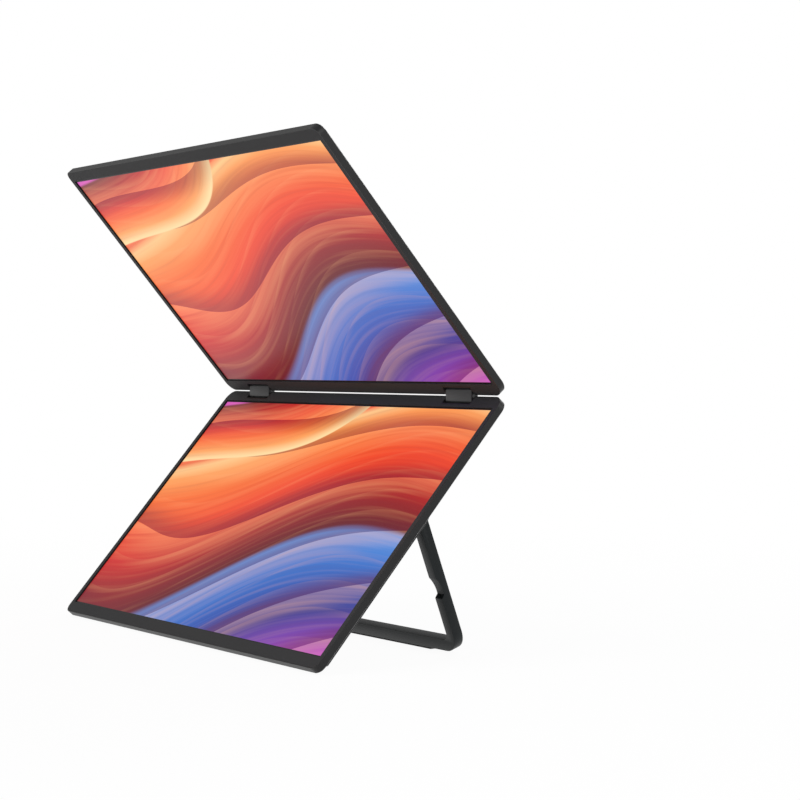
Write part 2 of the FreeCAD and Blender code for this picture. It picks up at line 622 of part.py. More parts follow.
def finger_notch():
    """Return the scoop in one leg's inner face: a long curve from the pivot side and a short step back."""
    start = STAND_PIVOT + FINGER_NOTCH_PLACE - FINGER_NOTCH_LENGTH / 2
    x_low = -LEG_OUTSIDE - 1
    deep = Vector(x_low, LEG_FRONT + FINGER_NOTCH_DEPTH, start + FINGER_NOTCH_LENGTH - FINGER_NOTCH_STEP)
    first = Vector(x_low, LEG_FRONT, start)
    bend = (first + deep) * 0.5 + Vector(0, FINGER_NOTCH_BULGE, 0)
    last = Vector(x_low, LEG_FRONT, start + FINGER_NOTCH_LENGTH)
    step = Part.makePolygon([deep, last, last - AXIS_Y, first - AXIS_Y, first])
    outline = Part.Wire([Part.Arc(first, bend, deep).toShape()] + step.Edges)
    return Part.Face(outline).extrude(AXIS_X * (LEG_WIDTH + 2))


def stand_frame():
    """Return the U stand, folded flat in its channel, with its pin bores and finger notch."""
    frame = stand_outline(LEG_OUTSIDE, LEG_INSIDE, STAND_END, STAND_END - LEG_WIDTH, LEG_FRONT, LEG_BACK, STAND_PIVOT)
    for side in SIDES.values():
        start = Vector(side * LEG_INSIDE, PIVOT_HEIGHT, STAND_PIVOT)
        frame = frame.fuse(rod(LEG_DEPTH / 2, start, LEG_WIDTH, AXIS_X * side))
    frame = frame.removeSplitter()
    for side in SIDES.values():
        start = Vector(side * (LEG_INSIDE - 1), PIVOT_HEIGHT, STAND_PIVOT)
        frame = frame.cut(rod(PIN_RADIUS + PIN_RUNNING_GAP, start, LEG_WIDTH + 2, AXIS_X * side))
    return frame.cut(finger_notch())


def stand_pad():
    """Return the rubber strip under the stand's bar, cut level with the desk, in the object's frame."""
    section = []
    front = STAND_PAD_FRONT_INSET - LEG_DEPTH / 2
    for across in (front, front + STAND_PAD_WIDTH):
        y_place = PIVOT_POINT.y + LEG_REACH * LEAN_SIN + across * LEAN_COS
        z_place = PIVOT_POINT.z - LEG_REACH * LEAN_COS + across * LEAN_SIN
        section.append((y_place, z_place))
    section += [(section[1][0], 0), (section[0][0], 0)]
    return profile_bar(section, -STAND_PAD_LENGTH / 2, STAND_PAD_LENGTH / 2)


def pivot_pin(side):
    """Return the pin that carries one leg between the channel's inner wall and the rim."""
    start = LEG_INSIDE - CHANNEL_SIDE_GAP - PIN_INNER_SEAT
    length = LEG_WIDTH + 2 * CHANNEL_SIDE_GAP + PIN_INNER_SEAT + PIN_OUTER_SEAT
    return rod(PIN_RADIUS, Vector(-side * start, PIVOT_HEIGHT, STAND_PIVOT), length, AXIS_X * -side)


def friction_washers():
    """Return the washers that brake the legs, one on each side of each leg."""
    rest_gap = (CHANNEL_SIDE_GAP - WASHER_THICKNESS) / 2
    washers = []
    for side in SIDES.values():
        for near in (LEG_INSIDE - CHANNEL_SIDE_GAP + rest_gap, LEG_OUTSIDE + rest_gap):
            start = Vector(side * near, PIVOT_HEIGHT, STAND_PIVOT)
            disc = facet_rod(2 * WASHER_RADIUS, start, WASHER_THICKNESS, AXIS_X * side, HARDWARE_SIDES)
            hole = facet_rod(2 * (PIN_RADIUS + FIT_GAP), start, WASHER_THICKNESS, AXIS_X * side, HARDWARE_SIDES)
            washers.append(disc.cut(hole))
    return Part.makeCompound(washers)


def add(name, shape, placement):
    """Put a piece in its place and keep it under its name."""
    piece = shape.copy()
    piece.Placement = placement.multiply(piece.Placement)
    parts[name] = piece


def add_display(prefix, placement, mirror):
    """Add every piece that the two displays have in common."""
    add(prefix + "_bezel", bezel(), placement)
    add(prefix + "_lcd_panel", screen_stack(LCD_FRONT, LCD_BACK), placement)
    add(prefix + "_backlight", screen_stack(LCD_BACK + STACK_GAP, COVER_INSIDE - STACK_GAP), placement)
    add(prefix + "_back_cover", back_cover(), placement)
    add(prefix + "_panel_board", panel_board(), placement)
    add(prefix + "_bracket_screws", bracket_screws(), placement)
    for word, side in SIDES.items():
        add(prefix + "_bracket_" + word, bracket(side * mirror), placement)
        add(prefix + "_shaft_" + word, shaft(side * mirror), placement)


def add_lower_pieces():
    """Add what only the lower display has: its housing, boards, sockets, keys and feet."""
    add("rear_housing", rear_housing(), LOWER_PLACE)
    add("main_board", main_board(), LOWER_PLACE)
    add("board_shield", board_shield(), LOWER_PLACE)
    add("board_standoffs", board_standoffs(), LOWER_PLACE)
    add("board_screws", board_screws(), LOWER_PLACE)
    add("port_board", port_board(), LOWER_PLACE)
    add("key_board", key_board(), LOWER_PLACE)
    add("key_switches", key_switches(), LOWER_PLACE)
    for places, length in ((USB_PLACES, USB_LENGTH), (VIDEO_PLACES, VIDEO_LENGTH)):
        for name, place in places.items():
            add(name, socket(length, place), LOWER_PLACE)
            add(name + "_tongue", tongue(length, place), LOWER_PLACE)
    for name, place in KEY_PLACES.items():
        add(name, key(place), LOWER_PLACE)
    for word, side in SIDES.items():
        add("foot_pad_" + word, foot_pad(side), LOWER_PLACE)


def add_hinges():
    """Add the two hinge links between the displays."""
    for word, side in SIDES.items():
        add("hinge_cover_" + word, hinge_cover(side), LINK_PLACE)
        add("torque_block_" + word, torque_block(side), LINK_PLACE)


def add_stand():
    """Add the stand, swung out of its channel onto the desk, and what it turns on."""
    add("stand_frame", stand_frame(), LOWER_PLACE)
    parts["stand_frame"].rotate(PIVOT_POINT, AXIS_X, PANEL_TILT + STAND_LEAN)
    add("stand_pad", stand_pad(), Placement())
    add("friction_washers", friction_washers(), LOWER_PLACE)
    for word, side in SIDES.items():
        add("pivot_pin_" + word, pivot_pin(side), LOWER_PLACE)


add_display("lower", LOWER_PLACE, -1)
add_display("upper", UPPER_PLACE, 1)
add_lower_pieces()
add_hinges()
add_stand()

os.makedirs("parts", exist_ok=True)
for name, shape in parts.items():
    shape.exportStep("parts/" + name + ".step")
print(len(parts), "pieces; hinge centre", HINGE_CENTRE, "stand pivot", PIVOT_POINT, "leg reach", LEG_REACH)
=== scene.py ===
"""Finishes, picture, markings and studio for a stacked pair of portable displays on a folding stand.

Every length is in metres. The screens face -Y and the desk is at height 0.
"""

import json
import logging
import math
from dataclasses import dataclass
from enum import Enum
from typing import Union

import bpy
from mathutils import Matrix, Vector


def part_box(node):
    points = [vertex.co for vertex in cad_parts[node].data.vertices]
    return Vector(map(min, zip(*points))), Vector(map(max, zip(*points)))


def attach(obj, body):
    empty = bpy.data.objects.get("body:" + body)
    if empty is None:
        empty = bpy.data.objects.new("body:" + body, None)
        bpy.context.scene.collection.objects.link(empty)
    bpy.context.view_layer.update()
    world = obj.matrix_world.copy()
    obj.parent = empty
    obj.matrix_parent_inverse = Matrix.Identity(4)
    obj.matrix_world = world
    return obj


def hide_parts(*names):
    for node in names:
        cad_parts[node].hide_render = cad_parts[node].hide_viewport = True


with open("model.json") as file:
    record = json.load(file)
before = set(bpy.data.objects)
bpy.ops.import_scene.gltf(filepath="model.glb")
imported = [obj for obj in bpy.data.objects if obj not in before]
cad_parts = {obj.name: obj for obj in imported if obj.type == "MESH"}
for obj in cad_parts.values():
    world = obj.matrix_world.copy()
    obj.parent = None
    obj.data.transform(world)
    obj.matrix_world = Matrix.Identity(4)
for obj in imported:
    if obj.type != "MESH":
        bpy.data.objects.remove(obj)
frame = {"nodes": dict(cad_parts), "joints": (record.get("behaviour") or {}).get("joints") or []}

LOG = logging.getLogger("portable_displays")
MM = 0.001
PANEL_TILT = math.radians(41.0)
WELD_DISTANCE = 0.002 * MM
FLAT_ANGLE = math.radians(0.5)
SMOOTH_ANGLE = math.radians(30.0)
Colour = tuple[float, float, float]
Number = Union["Value", float]


class Value:
    """A shader socket on which Python's operators build Math nodes."""

    def __init__(self, paint: "Paint", socket: bpy.types.NodeSocket) -> None:
        """Keep the socket and the material that it belongs to."""
        self.paint = paint
        self.socket = socket

    def math(self, operation: str, *operands: Number) -> "Value":
        """Return a Math node's result.

        Args:
            operation: The Math node's operation.
            operands: Its inputs, in order.

        Returns:
            The result as a value.
        """
        return self.paint.node("ShaderNodeMath", {"operation": operation}, dict(enumerate(operands)))

    def __add__(self, other: Number) -> "Value":
        """Return the sum."""
        return self.math("ADD", self, other)

    def __radd__(self, other: Number) -> "Value":
        """Return the sum with the value on the right."""
        return self.math("ADD", other, self)

    def __sub__(self, other: Number) -> "Value":
        """Return the difference."""
        return self.math("SUBTRACT", self, other)

    def __rsub__(self, other: Number) -> "Value":
        """Return the difference with the value on the right."""
        return self.math("SUBTRACT", other, self)

    def __mul__(self, other: Number) -> "Value":
        """Return the product."""
        return self.math("MULTIPLY", self, other)

    def __rmul__(self, other: Number) -> "Value":
        """Return the product with the value on the right."""
        return self.math("MULTIPLY", other, self)

    def __truediv__(self, other: Number) -> "Value":
        """Return the quotient."""
        return self.math("DIVIDE", self, other)

    def sine(self) -> "Value":
        """Return the sine of the value in radians."""
        return self.math("SINE", self)

    def size(self) -> "Value":
        """Return the value without its sign."""
        return self.math("ABSOLUTE", self)

    def fraction(self) -> "Value":
        """Return the part after the decimal point."""
        return self.math("FRACT", self)

    def root(self) -> "Value":
        """Return the square root."""
        return self.math("SQRT", self)

    def least(self, other: Number) -> "Value":
        """Return the smaller of two values."""
        return self.math("MINIMUM", self, other)

    def most(self, other: Number) -> "Value":
        """Return the larger of two values."""
        return self.math("MAXIMUM", self, other)

    def step(self, low: float, high: float) -> "Value":
        """Return a soft step from 0 at low to 1 at high."""
        settings = {"interpolation_type": "SMOOTHSTEP"}
        return self.paint.node("ShaderNodeMapRange", settings, {0: self, 1: low, 2: high, 3: 0.0, 4: 1.0})


class Paint:
    """A material under construction, with one shader for the surface."""

    def __init__(self, name: str) -> None:
        """Start a material with only its surface shader and output."""
        self.material = bpy.data.materials.new(name)
        self.material.use_nodes = True
        self.tree = self.material.node_tree
        self.tree.nodes.clear()
        self.surface = self.tree.nodes.new("ShaderNodeBsdfPrincipled")
        self.output = self.tree.nodes.new("ShaderNodeOutputMaterial")
        self.tree.links.new(self.surface.outputs[0], self.output.inputs[0])

    def plug(self, socket: bpy.types.NodeSocket, value: object) -> None:
        """Link a value into a socket, or write a plain number or colour there."""
        if isinstance(value, Value):
            self.tree.links.new(value.socket, socket)
        elif isinstance(value, tuple) and len(socket.default_value) == 4:
            socket.default_value = (*value, 1.0)
        else:
            socket.default_value = value

    def node(self, kind: str, settings: dict, inputs: dict, output: Union[int, str] = 0) -> Value:
        """Add one node.

        Args:
            kind: The node's type.
            settings: Its properties, with a colour ramp's stops under "stops".
            inputs: What goes in each socket, by place or name.
            output: The output that is wanted.

        Returns:
            That output as a value.
        """
        made = self.tree.nodes.new(kind)
        for key, setting in settings.items():
            if key == "stops":
                self.fill_ramp(made.color_ramp, setting)
            else:
                setattr(made, key, setting)
        for key, value in inputs.items():
            self.plug(made.inputs[key], value)
        return Value(self, made.outputs[output])

    def fill_ramp(self, ramp: bpy.types.ColorRamp, stops: list[tuple[float, Colour]]) -> None:
        """Write a colour ramp's stops."""
        while len(ramp.elements) < len(stops):
            ramp.elements.new(1.0)
        for element, (place, colour) in zip(ramp.elements, stops):
            element.position = place
            element.color = (*colour, 1.0)

    def point(self) -> Value:
        """Return the point on the object in its own coordinates."""
        return self.node("ShaderNodeTexCoord", {}, {}, "Object")

    def parts_of(self, vector: Value) -> list[Value]:
        """Return a vector's three parts."""
        first = self.node("ShaderNodeSeparateXYZ", {}, {0: vector})
        return [Value(self, socket) for socket in first.socket.node.outputs]

    def noise(self, scale: float, detail: float = 2.0) -> Value:
        """Return a smooth noise from 0 to 1 over the object."""
        return self.node("ShaderNodeTexNoise", {}, {"Vector": self.point(), "Scale": scale, "Detail": detail})

    def blend(self, factor: Number, first: object, second: object) -> Value:
        """Return a mix of two colours."""
        settings = {"data_type": "RGBA"}
        return self.node("ShaderNodeMix", settings, {0: factor, 6: first, 7: second}, 2)

    def bump(self, height: Value, depth: float) -> Value:
        """Return a normal that a height moves by a depth in metres."""
        return self.node("ShaderNodeBump", {}, {"Strength": 0.5, "Distance": depth, "Height": height})

    def set(self, **sockets: object) -> bpy.types.Material:
        """Fill the surface shader's sockets.

        Args:
            sockets: Values by socket name, with _ for a space.

        Returns:
            The finished material.
        """
        for name, value in sockets.items():
            self.plug(self.surface.inputs[name.replace("_", " ")], value)
        return self.material


@dataclass(frozen=True)
class PanelFrame:
    """Where one display lies: its hinge axis, and which way it runs from there."""

    axis: Vector
    up: int

    def place(self, across: float, depth: float, along: float) -> Vector:
        """Return the point at a place across, behind and along the panel.

        Args:
            across: To the right as seen from the front.
            depth: Behind the panel's middle plane.
            along: From the hinge axis towards the far edge.

        Returns:
            The point in the object's frame.
        """
        sine, cosine = math.sin(PANEL_TILT), math.cos(PANEL_TILT)
        back = Vector((0.0, cosine, self.up * sine))
        outward = Vector((0.0, -sine, self.up * cosine))
        return self.axis + Vector((across, 0.0, 0.0)) + back * depth + outward * along

    def matrix(self, across: float, depth: float, along: float) -> Matrix:
        """Return the frame of a flat mark that faces away from the screen, with its top towards the hinge."""
        origin = self.place(across, depth, along)
        back = self.place(across, depth + 1.0, along) - origin
        top = origin - self.place(across, depth, along + 1.0)
        right = top.cross(back)
        turn = Matrix((right, top, back)).transposed()
        return Matrix.Translation(origin) @ turn.to_4x4()

    def coordinates(self, paint: Paint) -> list[Value]:
        """Return the shading point's places across, behind and along the panel."""
        across, world_y, world_z = paint.parts_of(paint.point())
        y, z = world_y - self.axis.y, world_z - self.axis.z
        sine, cosine = math.sin(PANEL_TILT), math.cos(PANEL_TILT)
        depth = y * cosine + z * (self.up * sine)
        along = z * (self.up * cosine) - y * sine
        return [across, depth, along]


def joint_place(name: str) -> Vector:
    """Return the place of one of the frame's joints."""
    return Vector(next(joint["pos_m"] for joint in frame["joints"] if joint["name"] == name))


UPPER = PanelFrame(joint_place("upper_hinge"), 1)
LOWER = PanelFrame(joint_place("lower_hinge"), -1)


class Mark(Enum):
    """The generic signs beside the sockets and keys."""

    PLUG = "plug"
    SCREEN = "screen"
    POWER = "power"
    PLUS = "plus"
    MINUS = "minus"
    MENU = "menu"


SOCKET_SIGNS = {
    "usb_c_socket_1": Mark.PLUG,
    "usb_c_socket_2": Mark.PLUG,
    "usb_c_socket_3": Mark.PLUG,
    "video_socket_1": Mark.SCREEN,
    "video_socket_2": Mark.SCREEN,
}
KEY_SIGNS = {
    "power_key_1": Mark.POWER,
    "menu_key_1": Mark.PLUS,
    "menu_key_2": Mark.MENU,
    "menu_key_3": Mark.MINUS,
    "power_key_2": Mark.POWER,
}


@dataclass(frozen=True)
class Plastic:
    """A moulded or painted dark finish with a fine grain."""

    name: str
    colour: Colour
    roughness: float
    grain: float = 1800.0
    grain_depth: float = 0.00002
    sheen_share: float = 0.18
    shine: float = 0.5

    def material(self) -> bpy.types.Material:
        """Return the finish as a material."""
        paint = Paint(self.name)
        cloud = paint.noise(9.0)
        light = tuple(min(1.0, part * (1 + self.sheen_share)) for part in self.colour)
        dark = tuple(part * (1 - self.sheen_share) for part in self.colour)
        grain = paint.noise(self.grain, 1.0)
        rough = self.roughness + (cloud - 0.5) * 0.08 + (grain - 0.5) * 0.06
        normal = paint.bump(grain, self.grain_depth)
        paint.set(Specular_IOR_Level=self.shine)
        return paint.set(Base_Color=paint.blend(cloud, dark, light), Roughness=rough, Normal=normal)


@dataclass(frozen=True)
class Metal:
    """A plain machined or drawn metal with fine lines along x."""

    name: str
    colour: Colour
    roughness: float

    def material(self) -> bpy.types.Material:
        """Return the finish as a material."""
        paint = Paint(self.name)
        stretched = paint.node("ShaderNodeMapping", {}, {"Vector": paint.point(), "Scale": (60.0, 4000.0, 4000.0)})
        lines = paint.node("ShaderNodeTexNoise", {}, {"Vector": stretched, "Scale": 1.0, "Detail": 2.0})
        dark = tuple(part * 0.8 for part in self.colour)
        rough = self.roughness + (lines - 0.5) * 0.12
        return paint.set(Base_Color=paint.blend(lines, dark, self.colour), Metallic=0.9, Roughness=rough)


@dataclass(frozen=True)
class CoverFinish:
    """The rear cover's satin coat, with a painted highlight along the edge of its back face: a bright silver
    metallic strip that stands in for the light caught by the chamfer.
    """

    panel: PanelFrame
    name: str
    half_width: float = 177.5 * MM
    hinge_edge: float = -2.4 * MM
    far_edge: float = 211.59 * MM
    half_thickness: float = 2.75 * MM
    bevel: float = 0.7 * MM
    # Width of the painted highlight strip, just inboard of the chamfer.
    painted_highlight_width: float = 0.7 * MM
    soft: float = 0.08 * MM
    coat: Colour = (0.012, 0.012, 0.0125)
    shine: float = 0.28
    # Painted highlight: the strip's bright silver colour stands in for light caught by the chamfer.
    painted_highlight_colour: Colour = (0.78, 0.78, 0.79)

    def material(self) -> bpy.types.Material:
        """Return the finish as a material."""
        paint = Paint(self.name)
        across, depth, along = self.panel.coordinates(paint)
        edge = (self.half_width - across.size()).least(self.far_edge - along).least(along - self.hinge_edge)
        far_side = self.bevel + self.painted_highlight_width
        # Painted highlight: a strip on the back face just inboard of the chamfer, made bright, metallic and
        # smoother.
        strip = edge.step(self.bevel - self.soft, self.bevel) - edge.step(far_side, far_side + self.soft)
        bright = strip * depth.step(self.half_thickness - 2 * self.soft, self.half_thickness - self.soft)
        grain = paint.noise(2200.0, 1.0)
        cloud = paint.noise(7.0)
        coat = paint.blend(cloud, tuple(part * 0.85 for part in self.coat), tuple(part * 1.2 for part in self.coat))
        rough = 0.42 + (cloud - 0.5) * 0.08 - bright * 0.2 + (grain - 0.5) * 0.05
        normal = paint.bump(grain, 0.015 * MM)
        # Painted highlight blended over the coat.
        colour = paint.blend(bright, coat, self.painted_highlight_colour)
        paint.set(Specular_IOR_Level=self.shine)
        return paint.set(Base_Color=colour, Metallic=bright * 0.95, Roughness=rough, Normal=normal)


GROUND_STOPS = [
    (0.00, (0.62, 0.07, 0.56)),
    (0.07, (0.20, 0.04, 0.42)),
    (0.13, (0.04, 0.04, 0.28)),
    (0.19, (0.015, 0.08, 0.42)),
    (0.27, (0.04, 0.19, 0.62)),
    (0.33, (0.11, 0.32, 0.78)),
    (0.345, (0.12, 0.002, 0.008)),
    (0.41, (0.28, 0.005, 0.010)),
    (0.48, (0.62, 0.015, 0.010)),
    (0.55, (0.86, 0.06, 0.012)),
    (0.63, (0.92, 0.15, 0.02)),
    (0.69, (0.97, 0.33, 0.08)),
    (0.72, (0.99, 0.58, 0.24)),
    (0.74, (0.88, 0.09, 0.015)),
    (0.88, (0.50, 0.010, 0.008)),
    (1.00, (0.86, 0.08, 0.02)),
]
FOLD_STOPS = [
    (0.00, (0.80, 0.12, 0.62)),
    (0.15, (0.66, 0.08, 0.46)),
    (0.17, (0.16, 0.002, 0.015)),
    (0.30, (0.50, 0.008, 0.010)),
    (0.46, (0.82, 0.035, 0.012)),
    (0.60, (0.92, 0.15, 0.025)),
    (0.72, (0.97, 0.36, 0.10)),
    (0.81, (1.0, 0.72, 0.36)),
]


@dataclass(frozen=True)
class Wave:
    """A sine across the picture: its rates to the right and up, its start and its height."""

    right: float
    up: float
    start: float
    height: float

    def value(self, wide: Value, up: Value) -> Value:
        """Return the wave's height at a place in the picture."""
        return (wide * self.right + up * self.up + self.start).sine() * self.height


@dataclass(frozen=True)
class SilkSheet:
    """One sheet of silk, folded about a centre: colours change across the folds, and threads run along them."""

    centre: tuple[float, float]
    stretch: tuple[float, float]
    waves: tuple[Wave, ...]
    run: tuple[float, float]
    stops: list[tuple[float, Colour]]
    tone_start: float
    tone_rate: float
    crest_colour: Colour = (1.0, 0.50, 0.22)
    hollow_colour: Colour = (0.14, 0.0, 0.02)
    fold_rate: float = 3.4
    ripple_rate: float = 9.0
    thread_rate: float = 46.0
    thread_length: float = 1.3

    def reach(self, wide: Value, up: Value) -> Value:
        """Return the distance across the folds."""
        side, rise = wide - self.centre[0], up - self.centre[1]
        distance = (side * side * self.stretch[0] + rise * rise * self.stretch[1]).root()
        for wave in self.waves:
            distance = distance + wave.value(wide, up)
        return distance

    def colour(self, paint: Paint, reach: Value, wide: Value, up: Value) -> Value:
        """Return the sheet's colour.

        Args:
            paint: The material to build in.
            reach: The distance across the folds.
            wide: The place across the picture, in picture heights.
            up: The place up the picture.

        Returns:
            The colour.
        """
        run = wide * self.run[0] + up * self.run[1]
        tone = (reach - self.tone_start) * self.tone_rate
        base = paint.node("ShaderNodeValToRGB", {"stops": self.stops}, {0: tone})
        fold = (reach * self.fold_rate + (run * 2.1).sine() * 0.45).fraction()
        ripple = (reach * self.ripple_rate + (run * 3.1 + 1.0).sine() * 0.8).fraction()
        plane = {0: reach * self.thread_rate, 1: run * self.thread_length, 2: 0.0}
        place = paint.node("ShaderNodeCombineXYZ", {}, plane)
        threads = paint.node("ShaderNodeTexNoise", {}, {"Vector": place, "Scale": 1.0, "Detail": 3.0})
        crest = fold.step(0.55, 0.98) * 0.22 + ripple.step(0.7, 1.0) * 0.08 + (threads - 0.5) * 0.42
        hollow = (1.0 - fold.step(0.0, 0.34)) * 0.50 + (0.5 - threads).most(0.0) * 0.6
        lit = paint.blend(crest.most(0.0), base, self.crest_colour)
        return paint.blend(hollow, lit, self.hollow_colour)


GROUND_SHEET = SilkSheet(
    centre=(2.15, -0.45),
    stretch=(0.22, 1.6),
    waves=(Wave(2.2, 1.5, 0.4, 0.11), Wave(4.6, -2.4, 0.0, 0.03)),
    run=(0.9, -0.6),
    stops=GROUND_STOPS,
    tone_start=0.50,
    tone_rate=0.56,
)
FOLD_SHEET = SilkSheet(
    centre=(-0.35, 1.42),
    stretch=(0.42, 1.5),
    waves=(Wave(3.1, 2.2, 0.0, 0.07),),
    run=(1.0, 0.7),
    stops=FOLD_STOPS,
    tone_start=0.56,
    tone_rate=1.9,
)
FOLD_SHEET_EDGE = (0.990, 0.997)


@dataclass(frozen=True)
class ScreenPicture:
    """A lit screen that shows folds of coloured silk, inside a black border."""

    panel: PanelFrame
    name: str
    width: float = 344.16 * MM
    height: float = 193.59 * MM
    start: float = 8.1 * MM
    edge_blur: float = 0.05 * MM
    glow: float = 1.0

    def picture_places(self, paint: Paint) -> tuple[Value, Value, Value]:
        """Return the place across and up the picture from 0 to 1, and a mask of the lit area."""
        across, _, along = self.panel.coordinates(paint)
        from_start = along - self.start
        right = across / self.width + 0.5
        share = from_start / self.height
        up = share if self.panel.up > 0 else 1.0 - share
        inside = (self.width / 2 - across.size()).least(from_start).least(self.height - from_start)
        return right, up, inside.step(0.0, self.edge_blur)

    def silk(self, paint: Paint, right: Value, up: Value) -> Value:
        """Return the picture's colour: a sheet of silk about one corner, over another about the far one.

        Args:
            paint: The material to build in.
            right: The place across the picture.
            up: The place up the picture.

        Returns:
            The colour.
        """
        wide = right * round(self.width / self.height, 2)
        ground_reach, fold_reach = GROUND_SHEET.reach(wide, up), FOLD_SHEET.reach(wide, up)
        ground = GROUND_SHEET.colour(paint, ground_reach, wide, up)
        fold = FOLD_SHEET.colour(paint, fold_reach, wide, up)
        return paint.blend(1.0 - fold_reach.step(*FOLD_SHEET_EDGE), ground, fold)

    def material(self) -> bpy.types.Material:
        """Return the finish as a material."""
        paint = Paint(self.name)
        right, up, mask = self.picture_places(paint)
        shown = paint.blend(mask, (0.0, 0.0, 0.0), self.silk(paint, right, up))
        grain = paint.noise(900.0, 1.0)
        rough = 0.34 + (grain - 0.5) * 0.04
        paint.set(Emission_Color=shown, Emission_Strength=self.glow, Roughness=rough)
        return paint.set(Base_Color=(0.004, 0.004, 0.005), Specular_IOR_Level=0.25)


@dataclass(frozen=True)
class HingeFinish:
    """A hinge cover's satin grey face, with painted shade on each knuckle round a shaft: the knuckle is coloured
    near black for the shade in its recess behind the face.
    """

    name: str
    face: Colour = (0.026, 0.026, 0.027)
    # Painted shade: the knuckles' near-black colour stands in for the shade in their recess.
    shaded_knuckle: Colour = (0.004, 0.004, 0.004)
    face_reach: float = 3.85 * MM

    def material(self) -> bpy.types.Material:
        """Return the finish as a material."""
        paint = Paint(self.name)
        height = paint.parts_of(paint.point())[2] - (UPPER.axis.z + LOWER.axis.z) / 2
        # Mask of the knuckles beyond the face, which get the painted shade and a rougher surface.
        shaded_knuckle = height.size().step(self.face_reach, self.face_reach + 0.1 * MM)
        grain = paint.noise(1800.0, 1.0)
        colour = paint.blend(shaded_knuckle, self.face, self.shaded_knuckle)
        return paint.set(Base_Color=colour, Roughness=0.44 + (grain - 0.5) * 0.06 + shaded_knuckle * 0.3)


@dataclass(frozen=True)
class SocketFinish:
    """A socket's dark metal shell with a pale gold rim."""

    name: str
    rim_side: float = -161.35 * MM
    rim: Colour = (0.34, 0.29, 0.16)
    inside: Colour = (0.045, 0.045, 0.045)

    def material(self) -> bpy.types.Material:
        """Return the finish as a material."""
        paint = Paint(self.name)
        across = paint.parts_of(paint.point())[0]
        bright = (self.rim_side - across).step(0.0, 0.1 * MM)
        grain = paint.noise(3000.0, 1.0)
        return paint.set(
            Base_Color=paint.blend(bright, self.inside, self.rim),
            Metallic=0.4 + bright * 0.4,
            Roughness=0.34 + (grain - 0.5) * 0.1,
        )


@dataclass(frozen=True)
class BoardFinish:
    """A green circuit board with fine tracks and tinned pads."""

    name: str

    def material(self) -> bpy.types.Material:
        """Return the finish as a material."""
        paint = Paint(self.name)
        across, _, height = paint.parts_of(paint.point())
        tracks = ((across * 5200.0).sine() + (height * 4300.0).sine()).step(0.9, 1.3)
        pads = paint.noise(420.0, 0.0).step(0.66, 0.70)
        mask = paint.blend(tracks, (0.010, 0.075, 0.035), (0.016, 0.12, 0.05))
        colour = paint.blend(pads, mask, (0.62, 0.62, 0.60))
        return paint.set(Base_Color=colour, Metallic=pads * 0.8, Roughness=0.45 - pads * 0.15)


@dataclass(frozen=True)
class Finishes:
    """Every finish of the object, made once."""

    bezel: bpy.types.Material
    stand: bpy.types.Material
    hinge: bpy.types.Material
    housing: bpy.types.Material
    rubber: bpy.types.Material
    key: bpy.types.Material
    ink: bpy.types.Material
    steel: bpy.types.Material
    brass: bpy.types.Material
    tin: bpy.types.Material
    film: bpy.types.Material
    socket: bpy.types.Material
    board: bpy.types.Material

    @classmethod
    def make(cls) -> "Finishes":
        """Return the whole set."""
        return cls(
            bezel=Plastic("bezel_plastic", (0.030, 0.031, 0.032), 0.62, shine=0.18).material(),
            stand=Plastic("stand_coat", (0.008, 0.0105, 0.0115), 0.42, 2600.0, shine=0.22).material(),
            hinge=HingeFinish("hinge_plastic").material(),
            housing=Plastic("housing_plastic", (0.010, 0.010, 0.0105), 0.46, shine=0.28).material(),
            rubber=Plastic("foot_rubber", (0.010, 0.010, 0.010), 0.78, 1400.0, 0.00005).material(),
            key=Plastic("key_plastic", (0.022, 0.022, 0.024), 0.38).material(),
            ink=Plastic("white_ink", (0.72, 0.72, 0.72), 0.55, 2400.0, 0.00001, 0.04).material(),
            steel=Metal("machined_steel", (0.52, 0.52, 0.53), 0.34).material(),
            brass=Metal("turned_brass", (0.68, 0.50, 0.22), 0.32).material(),
            tin=Metal("tinned_sheet", (0.66, 0.66, 0.65), 0.40).material(),
            film=Plastic("diffuser_film", (0.74, 0.74, 0.74), 0.60, 2000.0, 0.00001, 0.03).material(),
            socket=SocketFinish("socket_shell").material(),
            board=BoardFinish("circuit_board").material(),
        )


def select_only(piece: bpy.types.Object) -> None:
    """Deselect everything, then select one object and make it active."""
    bpy.ops.object.select_all(action="DESELECT")
    piece.select_set(True)
    bpy.context.view_layer.objects.active = piece


def dress(piece: bpy.types.Object, material: bpy.types.Material) -> None:
    """Give an object one material all over."""
    piece.data.materials.clear()
    piece.data.materials.append(material)


def bake_place(piece: bpy.types.Object, matrix: Matrix) -> None:
    """Move a mesh to its place and leave its object at the origin."""
    piece.data.transform(matrix @ piece.matrix_world)
    piece.matrix_world = Matrix.Identity(4)


@dataclass(frozen=True)
class EdgeBreak:
    """How far a piece's sharp edges are broken."""

    width: float
    segments: int = 2
    sharpness: float = math.radians(38.0)


